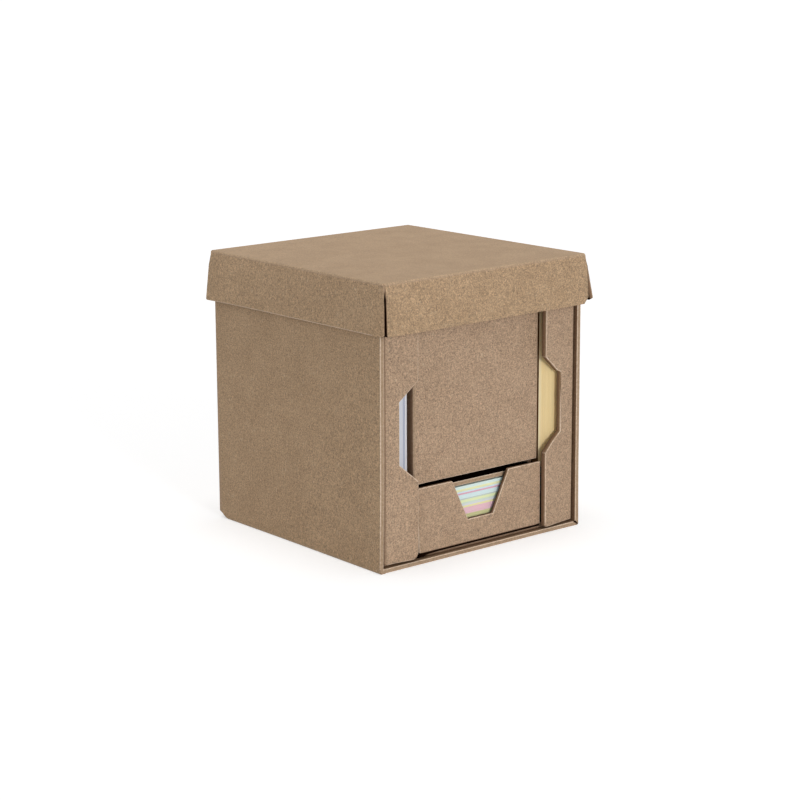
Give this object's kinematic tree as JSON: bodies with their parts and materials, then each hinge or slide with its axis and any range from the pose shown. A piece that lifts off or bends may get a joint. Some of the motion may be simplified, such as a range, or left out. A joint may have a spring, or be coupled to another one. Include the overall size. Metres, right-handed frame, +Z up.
{
  "type": "note holder",
  "caption": "Kraft-board desk box, open in front, with a lift-off lid: coloured memo sheets below, note pads either side of an upright centre sleeve above, and thumb notches.",
  "frame": {"origin": "centre of the case's underside, on the surface it stands on", "axes": "+X to the right seen from the open front, +Y from the front to the back, +Z up"},
  "size_m": [0.1091, 0.1093, 0.108],
  "materials": {
    "kraft_board": "matte",
    "white_paper": "matte",
    "yellow_paper": "matte",
    "memo_cyan": "matte",
    "memo_yellow": "matte",
    "memo_pale_blue": "matte",
    "memo_magenta": "matte",
    "memo_light_blue": "matte",
    "memo_sage": "matte",
    "memo_lime": "matte",
    "memo_mint": "matte",
    "memo_lavender": "matte",
    "memo_amber": "matte",
    "memo_pink": "matte",
    "memo_green": "matte",
    "memo_rose": "matte",
    "memo_sky": "matte",
    "memo_cream": "matte"
  },
  "bodies": {
    "holder": {"outer_case": "kraft_board", "inner_tray": "kraft_board", "shelf": "kraft_board", "centre_sleeve": "kraft_board", "left_note_pad": "white_paper", "right_note_pad": "yellow_paper", "memo_cyan": "memo_cyan", "memo_yellow": "memo_yellow", "memo_pale_blue": "memo_pale_blue", "memo_magenta": "memo_magenta", "memo_light_blue": "memo_light_blue", "memo_sage": "memo_sage", "memo_lime": "memo_lime", "memo_mint": "memo_mint", "memo_lavender": "memo_lavender", "memo_amber": "memo_amber", "memo_pink": "memo_pink", "memo_green": "memo_green", "memo_rose": "memo_rose", "memo_sky": "memo_sky", "memo_cream": "memo_cream"},
    "lid": {"lid": "kraft_board"}
  },
  "joints": [
    {"name": "lid_lift", "type": "slide", "parent": "holder", "child": "lid", "axis": [0, 0, 1], "range_m": [0, 0.04]}
  ]
}
